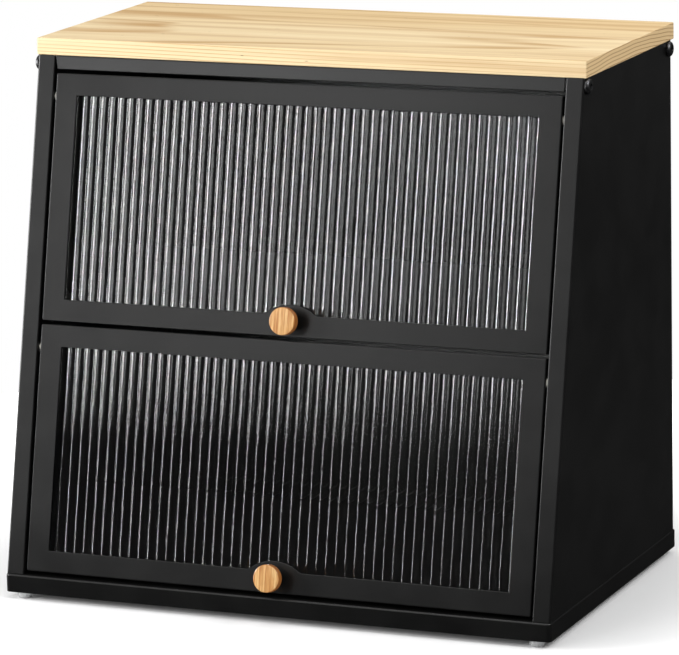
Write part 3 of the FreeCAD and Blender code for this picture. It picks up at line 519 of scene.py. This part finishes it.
def pine():
    material, shader, where = blank_material("planed_pine")
    shader.inputs["Specular IOR Level"].default_value = PINE_GLOSS
    late = ramp(material, growth_rings(material, where), LATE_WOOD)
    face = pine_face(material, where, late)
    end = mixed(material, late, PINE_END, PINE_END_LATE)
    sideways, _, _ = facing_of(material)
    is_end = arithmetic(
        material, "GREATER_THAN", arithmetic(material, "ABSOLUTE", sideways), END_FACING
    )
    wood = mixed(material, is_end, face, end)
    resin = streaks(material, where, RESIN_PATCHES, detail=0.0)
    speck = shades(material, resin, BLACK, WHITE, start=0.86, end=0.9)
    wood = mixed(material, speck, wood, RESIN_BROWN)
    fibres = streaks(material, where, FIBRE_PATCHES)
    fine = shades(material, fibres, FIBRE_SHADE, WHITE, start=0.25, end=0.6)
    link(material, mixed(material, 1.0, wood, fine, "MULTIPLY"), shader.inputs["Base Color"])
    uneven_roughness(material, shader, fibres, PINE_ROUGHNESS, PINE_UNEVENNESS)
    relief(material, shader, fibres, PINE_RELIEF, PINE_EDGE_RADIUS)
    return material


finish_node("wood_top", pine())


# Door frames: two pressed steel frames, hung on short pins near their top corners. The foot of
# each window rises in a tongue round its knob. Coated black like the cabinet.
for door in ("upper", "lower"):
    finish_node(door + "_door_frame", black_coat)


# Hinge bushes, catches, magnets and window tape: small parts of the doors' working. The bushes
# are natural nylon, the catches dull black plastic, the magnets nickel-plated and as bright as
# the screws, and the tape is a black foam ring between the frame and its window.
SPECKLES_PER_METRE = 600.0
SPECKLE_DARKER = 0.85
SPECKLE_LIGHTER = 1.1
MOULDED_UNEVENNESS = 0.12
MOULDED_RELIEF = 0.02 * MILLIMETRE
MOULDED_EDGE_RADIUS = 0.2 * MILLIMETRE


def moulded(name, colour, roughness):
    """A plastic or foam of one colour, finely speckled, with eased edges."""
    material, shader, where = blank_material(name)
    speckle = noise(material, where, SPECKLES_PER_METRE)
    darker = scaled(colour, SPECKLE_DARKER)
    lighter = scaled(colour, SPECKLE_LIGHTER)
    link(material, shades(material, speckle, darker, lighter), shader.inputs["Base Color"])
    uneven_roughness(material, shader, speckle, roughness, MOULDED_UNEVENNESS)
    relief(material, shader, speckle, MOULDED_RELIEF, MOULDED_EDGE_RADIUS)
    return material


nylon = moulded("natural_nylon", colour=(0.72, 0.70, 0.62), roughness=0.35)
catch_plastic = moulded("catch_plastic", colour=(0.018, 0.018, 0.019), roughness=0.5)
tape_foam = moulded("black_foam_tape", colour=(0.008, 0.008, 0.008), roughness=0.7)
for door in ("upper", "lower"):
    finish_node(door + "_hinge_bushes", nylon)
    finish_node(door + "_door_catches", catch_plastic)
    finish_node(door + "_catch_magnets", zinc)
    finish_node(door + "_window_tape", tape_foam)


# Windows: clear acrylic sheets, moulded with round upright flutes on the front and flat behind.
# Each is cut to a rectangle with a notch for the knob's screw, and taped behind its frame.
LEAN = math.radians(12.4)
FRONT_FOOT_Y = -117.562 * MILLIMETRE
FRONT_FOOT_Z = 16.5 * MILLIMETRE
DOOR_HEIGHT = 162.44 * MILLIMETRE
DOOR_FOOT = {"lower": 2.8 * MILLIMETRE, "upper": 167.74 * MILLIMETRE}
DOOR_RECESS = 1.0 * MILLIMETRE
FRAME_SHEET = 0.8 * MILLIMETRE
TAPE_THICKNESS = 0.5 * MILLIMETRE
PANE_FRONT = DOOR_RECESS + FRAME_SHEET + TAPE_THICKNESS
PANE_THICKNESS = 3.0 * MILLIMETRE
PANE_HALF_WIDTH = 166.0 * MILLIMETRE
PANE_END = 9.3 * MILLIMETRE
FLUTE_PITCH = 6.6 * MILLIMETRE
FLUTE_DEPTH = 1.2 * MILLIMETRE
FLUTES = 50
FLUTES_OFF_CENTRE = 0.6 * MILLIMETRE
FLUTE_STEPS = 12
NOTCH_HALF_WIDTH = 11.0 * MILLIMETRE
NOTCH_TOP = 16.8 * MILLIMETRE
ACRYLIC_TINT = (0.97, 0.98, 0.98)
ACRYLIC_REFRACTION = 1.49
RIPPLE_PATCHES = (1.0 * MILLIMETRE, 1.0 * MILLIMETRE, 500.0 * MILLIMETRE)
RIPPLE_DEPTH = 0.004 * MILLIMETRE
RIPPLE_HAZE = 0.05

on_door = (
    Matrix.Translation((0, FRONT_FOOT_Y, FRONT_FOOT_Z)) @ Matrix.Rotation(-LEAN, 4, "X")
)


def draw_flutes(bm, first, low):
    """A row of round flutes along X, from the first groove on, at one height."""
    half_pitch = FLUTE_PITCH / 2
    radius = (half_pitch ** 2 + FLUTE_DEPTH ** 2) / (2 * FLUTE_DEPTH)
    sweep = 2 * math.asin(half_pitch / radius)
    groove = bm.verts.new((first, PANE_FRONT + FLUTE_DEPTH, low))
    middle = (first + half_pitch, PANE_FRONT + radius, low)
    bmesh.ops.spin(
        bm, geom=[groove], cent=middle, axis=(0, 0, 1), angle=sweep, steps=FLUTE_STEPS,
    )
    one_flute = bm.verts[:] + bm.edges[:]
    for step in range(1, FLUTES):
        copy = bmesh.ops.duplicate(bm, geom=one_flute)["geom"]
        verts = [item for item in copy if isinstance(item, bmesh.types.BMVert)]
        bmesh.ops.translate(bm, verts=verts, vec=(step * FLUTE_PITCH, 0, 0))
    bmesh.ops.remove_doubles(bm, verts=bm.verts, dist=MERGE_DISTANCE)


def draw_outline(bm, low):
    """The pane's cross-section: flutes, a flat edge at each side, and the flat back."""
    half_row = FLUTES * (FLUTE_PITCH / 2)
    first = FLUTES_OFF_CENTRE - half_row
    last = FLUTES_OFF_CENTRE + half_row
    draw_flutes(bm, first, low)
    for side, outer in ((-1, first), (1, last)):
        end = max(bm.verts, key=lambda vert: side * vert.co.x)
        shoulder = bm.verts.new((outer, PANE_FRONT, low))
        rim = bm.verts.new((side * PANE_HALF_WIDTH, PANE_FRONT, low))
        bm.edges.new((end, shoulder))
        bm.edges.new((shoulder, rim))
    back = PANE_FRONT + PANE_THICKNESS
    rims = [vert for vert in bm.verts if abs(vert.co.x) > PANE_HALF_WIDTH - MERGE_DISTANCE]
    corners = [bm.verts.new((rim.co.x, back, low)) for rim in rims]
    for rim, corner in zip(rims, corners):
        bm.edges.new((rim, corner))
    bm.edges.new(corners)


def cut_notch(bm, top):
    """Cuts a notch for the knob's screw out of the foot; one bent face closes its walls."""
    for place, facing in (
        ((NOTCH_HALF_WIDTH, 0, 0), (1, 0, 0)),
        ((-NOTCH_HALF_WIDTH, 0, 0), (1, 0, 0)),
        ((0, 0, top), (0, 0, 1)),
    ):
        bmesh.ops.bisect_plane(
            bm, geom=bm.verts[:] + bm.edges[:] + bm.faces[:], plane_co=place, plane_no=facing
        )
    waste = [
        face for face in bm.faces
        if abs(face.calc_center_median().x) < NOTCH_HALF_WIDTH
        and face.calc_center_median().z < top
    ]
    bmesh.ops.delete(bm, geom=waste, context="FACES")
    bmesh.ops.holes_fill(bm, edges=[edge for edge in bm.edges if edge.is_boundary])


def fluted_pane(foot):
    """The pane of a door whose foot is at this rise up the cabinet's front."""
    bm = bmesh.new()
    low = foot + PANE_END
    high = foot + DOOR_HEIGHT - PANE_END
    draw_outline(bm, low)
    outline = bmesh.ops.contextual_create(bm, geom=bm.edges[:])["faces"]
    prism = bmesh.ops.extrude_face_region(bm, geom=outline)["geom"]
    verts = [item for item in prism if isinstance(item, bmesh.types.BMVert)]
    bmesh.ops.translate(bm, verts=verts, vec=(0, 0, high - low))
    cut_notch(bm, foot + NOTCH_TOP)
    bmesh.ops.recalc_face_normals(bm, faces=bm.faces)
    bmesh.ops.transform(bm, matrix=on_door, verts=bm.verts)
    return bm


def clear_acrylic():
    material, shader, where = blank_material("reeded_acrylic")
    shader.inputs["Base Color"].default_value = (*ACRYLIC_TINT, 1)
    shader.inputs["Transmission Weight"].default_value = 1.0
    shader.inputs["IOR"].default_value = ACRYLIC_REFRACTION
    along_flutes = in_patches(material, where, RIPPLE_PATCHES, turn=(-LEAN, 0, 0))
    ripples = noise(material, along_flutes, 1.0)
    haze = arithmetic(material, "MULTIPLY", ripples, RIPPLE_HAZE)
    link(material, haze, shader.inputs["Roughness"])
    relief(material, shader, ripples, RIPPLE_DEPTH)
    return material


acrylic = clear_acrylic()
for door in ("upper", "lower"):
    pane = fluted_pane(DOOR_FOOT[door])
    finish_piece(
        pane, door + "_reeded_pane", acrylic, door + "_door", door + "_window"
    )


# Knobs: small turned discs of oiled bamboo with softened rims, each on a black plastic stem and
# held by a screw from inside the door. Their faces show the strips of the block they are turned
# from. Their rims are painted darker, partly for the oil-soaked end grain and partly as painted
# shade.
KNOB_RADIUS = 9.0 * MILLIMETRE
KNOB_THICKNESS = 6.0 * MILLIMETRE
KNOB_RISE = 10.0 * MILLIMETRE
KNOB_EASE = 0.9 * MILLIMETRE
KNOB_EASE_STEPS = 6
STEM_RADIUS = 4.5 * MILLIMETRE
STEM_LENGTH = 7.0 * MILLIMETRE
BAMBOO_STRIPES = (0.0015, 0.03, 0.03)
BAMBOO_STRIPE_CRISPNESS = 0.65
BAMBOO_BROWN = (0.46, 0.19, 0.05)
BAMBOO_TAN = (0.62, 0.33, 0.115)
BAMBOO_PALE = (0.78, 0.50, 0.22)
BAMBOO_TONES = ((0.36, BAMBOO_BROWN), (0.5, BAMBOO_TAN), (0.62, BAMBOO_PALE))
BAMBOO_END_GRAIN_AND_SHADE = (0.36, 0.13, 0.03)
BAMBOO_SIDE_FACING = 0.6
BAMBOO_FIBRES = (0.0004, 0.01, 0.01)
BAMBOO_FIBRE_SHADE = (0.80, 0.75, 0.68)
BAMBOO_ROUGHNESS = 0.3
BAMBOO_RELIEF = 0.02 * MILLIMETRE


def bamboo():
    material, shader, where = blank_material("oiled_bamboo")
    shader.inputs["Roughness"].default_value = BAMBOO_ROUGHNESS
    stripes = streaks(material, where, BAMBOO_STRIPES, 3.0, BAMBOO_STRIPE_CRISPNESS)
    wood = ramp(material, stripes, BAMBOO_TONES)
    fibres = streaks(material, where, BAMBOO_FIBRES)
    fine = shades(material, fibres, BAMBOO_FIBRE_SHADE, WHITE, end=0.62)
    face = mixed(material, 1.0, wood, fine, "MULTIPLY")
    _, forward, _ = facing_of(material)
    is_side = arithmetic(
        material, "LESS_THAN", arithmetic(material, "ABSOLUTE", forward), BAMBOO_SIDE_FACING
    )
    # The rim's colour is darker: partly end grain, partly painted shade where little light falls
    # on it.
    link(material, mixed(material, is_side, face, BAMBOO_END_GRAIN_AND_SHADE), shader.inputs["Base Color"])
    relief(material, shader, fibres, BAMBOO_RELIEF)
    return material


knob_wood = bamboo()
stem_plastic = moulded("black_stem_plastic", colour=(0.012, 0.012, 0.012), roughness=0.4)
for door in ("upper", "lower"):
    out_of_door = (
        on_door
        @ Matrix.Translation((0, DOOR_RECESS, DOOR_FOOT[door] + KNOB_RISE))
        @ Matrix.Rotation(math.pi / 2, 4, "X")
    )
    rim = KNOB_RADIUS - KNOB_EASE
    front = STEM_LENGTH + KNOB_THICKNESS
    bm = bmesh.new()
    turn_profile(bm, [
        (0, STEM_LENGTH),
        *arc((rim, STEM_LENGTH + KNOB_EASE), KNOB_EASE, -90, 0, KNOB_EASE_STEPS),
        *arc((rim, front - KNOB_EASE), KNOB_EASE, 0, 90, KNOB_EASE_STEPS),
        (0, front),
    ])
    bmesh.ops.transform(bm, matrix=out_of_door, verts=bm.verts)
    finish_piece(bm, door + "_round_knob", knob_wood, door + "_door", door + "_knob")
    bm = bmesh.new()
    turn_profile(bm, [
        (0, 0), (STEM_RADIUS, 0), (STEM_RADIUS, STEM_LENGTH), (0, STEM_LENGTH),
    ])
    bmesh.ops.transform(bm, matrix=out_of_door, verts=bm.verts)
    finish_piece(
        bm, door + "_black_stem", stem_plastic, door + "_door",
        door + "_knob_stem",
    )


# Floor: a wide round sheet of white paper that the box stands on. It keeps the box's shadow near
# the middle and runs out to pure white before its rim, so that no edge of it is seen.
FLOOR_RADIUS = 0.62
FLOOR_SIDES = 96
SHADOW_KEPT_TO = 0.32
ALL_WHITE_FROM = 0.8
SHADOW_GLOW = (0.03, 0.03, 0.03)
PAPER_WHITE = (0.95, 0.95, 0.95)
PAPER_ROUGHNESS = 0.9


def seen_directly(material):
    """1 for rays from the camera, also through gloss and glass, and 0 for the rest."""
    path = material.node_tree.nodes.new("ShaderNodeLightPath")
    seen = path.outputs["Is Camera Ray"]
    for kind in ("Is Glossy Ray", "Is Transmission Ray"):
        seen = arithmetic(material, "MAXIMUM", seen, path.outputs[kind])
    return seen


def glow_towards_rim(material, where):
    """The glow of the paper: faint near the middle of the floor, full at its rim."""
    nearness = material.node_tree.nodes.new("ShaderNodeTexGradient")
    nearness.gradient_type = "SPHERICAL"
    link(material, in_patches(material, where, (FLOOR_RADIUS,) * 3), nearness.inputs["Vector"])
    return shades(
        material, nearness.outputs["Fac"], WHITE, SHADOW_GLOW,
        start=1 - ALL_WHITE_FROM, end=1 - SHADOW_KEPT_TO,
    )


def white_paper():
    material, shader, where = blank_material("white_paper")
    shader.inputs["Base Color"].default_value = (*PAPER_WHITE, 1)
    shader.inputs["Roughness"].default_value = PAPER_ROUGHNESS
    shader.inputs["Specular IOR Level"].default_value = 0.0
    shader.inputs["Emission Color"].default_value = (*WHITE, 1)
    glow = arithmetic(
        material, "MULTIPLY", seen_directly(material), glow_towards_rim(material, where)
    )
    link(material, glow, shader.inputs["Emission Strength"])
    return material


def lay_sheet(bm, name, material):
    """A sheet of the studio, which is no piece of the box."""
    mesh = bpy.data.meshes.new(name)
    bm.to_mesh(mesh)
    bm.free()
    mesh.materials.append(material)
    sheet = bpy.data.objects.new(name, mesh)
    bpy.context.scene.collection.objects.link(sheet)
    return sheet


bm = bmesh.new()
bmesh.ops.create_circle(bm, cap_ends=True, segments=FLOOR_SIDES, radius=FLOOR_RADIUS)
lay_sheet(bm, "floor", white_paper())


# Black card: it lies just over the floor, under the box and round it, and only gloss sees it. It
# keeps the white floor out of the glossy coat, as a black table would.
CARD_LEFT = -0.9
CARD_WIDTH = 2.7
CARD_FRONT = -0.72
CARD_LENGTH = 2.4
CARD_LIFT = 0.5 * MILLIMETRE
CARD_DARKER = (0.035, 0.035, 0.035)
CARD_LIGHTER = (0.045, 0.045, 0.045)
CARD_GRAINS_PER_METRE = 40.0


def black_paper():
    material, shader, where = blank_material("black_card")
    shader.inputs["Specular IOR Level"].default_value = 0.0
    grain = noise(material, where, CARD_GRAINS_PER_METRE)
    link(material, shades(material, grain, CARD_DARKER, CARD_LIGHTER), shader.inputs["Base Color"])
    return material


bm = bmesh.new()
bmesh.ops.create_grid(bm, x_segments=1, y_segments=1, size=0.5)
bmesh.ops.scale(bm, verts=bm.verts, vec=(CARD_WIDTH, CARD_LENGTH, 1))
bmesh.ops.translate(
    bm, verts=bm.verts, vec=(CARD_LEFT + CARD_WIDTH / 2, CARD_FRONT + CARD_LENGTH / 2, CARD_LIFT)
)
card = lay_sheet(bm, "black_card", black_paper())
card.visible_camera = False
card.visible_diffuse = False
card.visible_transmission = False
card.visible_shadow = False


# Light: a white world for what is seen and a dimmer one for what it lights, though gloss sees a
# white ceiling over dark walls. Soft lamps at the front and left lay the sheen on the doors and
# edge the flutes, one low and far off fills their stripes, and two light the board and floor.
WORLD_GREY = 0.45
WALL_GREY = 0.06
WALL_TOP = 0.4
CEILING_START = 0.9

world = bpy.data.worlds.new("studio")
bpy.context.scene.world = world
world.use_nodes = True
sky = world.node_tree.nodes["Background"]
sky.inputs["Color"].default_value = (*WHITE, 1)
outlook = world.node_tree.nodes.new("ShaderNodeTexCoord").outputs["Generated"]
_, _, upward = parts_of(world, outlook)
ceiling = world.node_tree.nodes.new("ShaderNodeMapRange")
ceiling.interpolation_type = "SMOOTHSTEP"
ceiling.inputs["From Min"].default_value = WALL_TOP
ceiling.inputs["From Max"].default_value = CEILING_START
ceiling.inputs["To Min"].default_value = WALL_GREY
link(world, upward, ceiling.inputs["Value"])
in_gloss = world.node_tree.nodes.new("ShaderNodeLightPath").outputs["Is Glossy Ray"]
darkness = arithmetic(world, "SUBTRACT", 1, ceiling.outputs["Result"])
dimming = arithmetic(world, "SUBTRACT", 1, arithmetic(world, "MULTIPLY", in_gloss, darkness))
level = world.node_tree.nodes.new("ShaderNodeMapRange")
level.inputs["To Min"].default_value = WORLD_GREY
link(world, seen_directly(world), level.inputs["Value"])
strength = arithmetic(world, "MULTIPLY", level.outputs["Result"], dimming)
link(world, strength, sky.inputs["Strength"])

centre = (packed_low + packed_high) / 2


def soft_lamp(name, place, width, height, watts, tilt=0.0):
    """A lamp at a place, turned to face the middle of the box, then tilted by degrees."""
    lamp = bpy.data.lights.new(name, "AREA")
    lamp.shape = "RECTANGLE"
    lamp.size = width
    lamp.size_y = height
    lamp.energy = watts
    holder = bpy.data.objects.new(name, lamp)
    facing = (Vector(place) - centre).to_track_quat("Z", "Y").to_matrix().to_4x4()
    tilting = Matrix.Rotation(math.radians(tilt), 4, "Z")
    holder.matrix_world = Matrix.Translation(place) @ facing @ tilting
    holder.visible_camera = False
    bpy.context.scene.collection.objects.link(holder)


soft_lamp("front_lamp", (-0.46, -1.20, 0.66), width=0.34, height=0.62, watts=1.95, tilt=-18)
soft_lamp("left_lamp", (-1.30, -0.80, 0.50), width=0.5, height=0.5, watts=14.0)
soft_lamp("far_left_lamp", (-1.50, -0.30, 0.30), width=0.8, height=0.6, watts=12.0)
soft_lamp("low_bounce", (-1.40, -2.70, -0.35), width=1.0, height=0.4, watts=14.0)
soft_lamp("overhead_lamp", (-0.1, 0.0, 1.7), width=1.0, height=1.0, watts=6.4)
soft_lamp("right_lamp", (1.15, -0.15, 1.15), width=0.7, height=0.7, watts=10.0)


# Camera: right of the front and a little above, about three metres off behind a long lens, and
# rolled by a degree, as in the photograph.
CAMERA_PLACE = (1.1273, -2.6673, 0.7973)
CAMERA_YAW = math.radians(22.882)
CAMERA_PITCH = math.radians(12.232)
CAMERA_ROLL = math.radians(1.222)
CAMERA_LENS = 238.739

camera_lens = bpy.data.cameras.new("camera")
camera_lens.lens = CAMERA_LENS
camera = bpy.data.objects.new("camera", camera_lens)
aim = Matrix.Rotation(CAMERA_YAW, 4, "Z") @ Matrix.Rotation(math.pi / 2 - CAMERA_PITCH, 4, "X")
camera.matrix_world = (
    Matrix.Translation(CAMERA_PLACE) @ aim @ Matrix.Rotation(-CAMERA_ROLL, 4, "Z")
)
bpy.context.scene.collection.objects.link(camera)
bpy.context.scene.camera = camera
bpy.context.scene.view_settings.view_transform = "Standard"
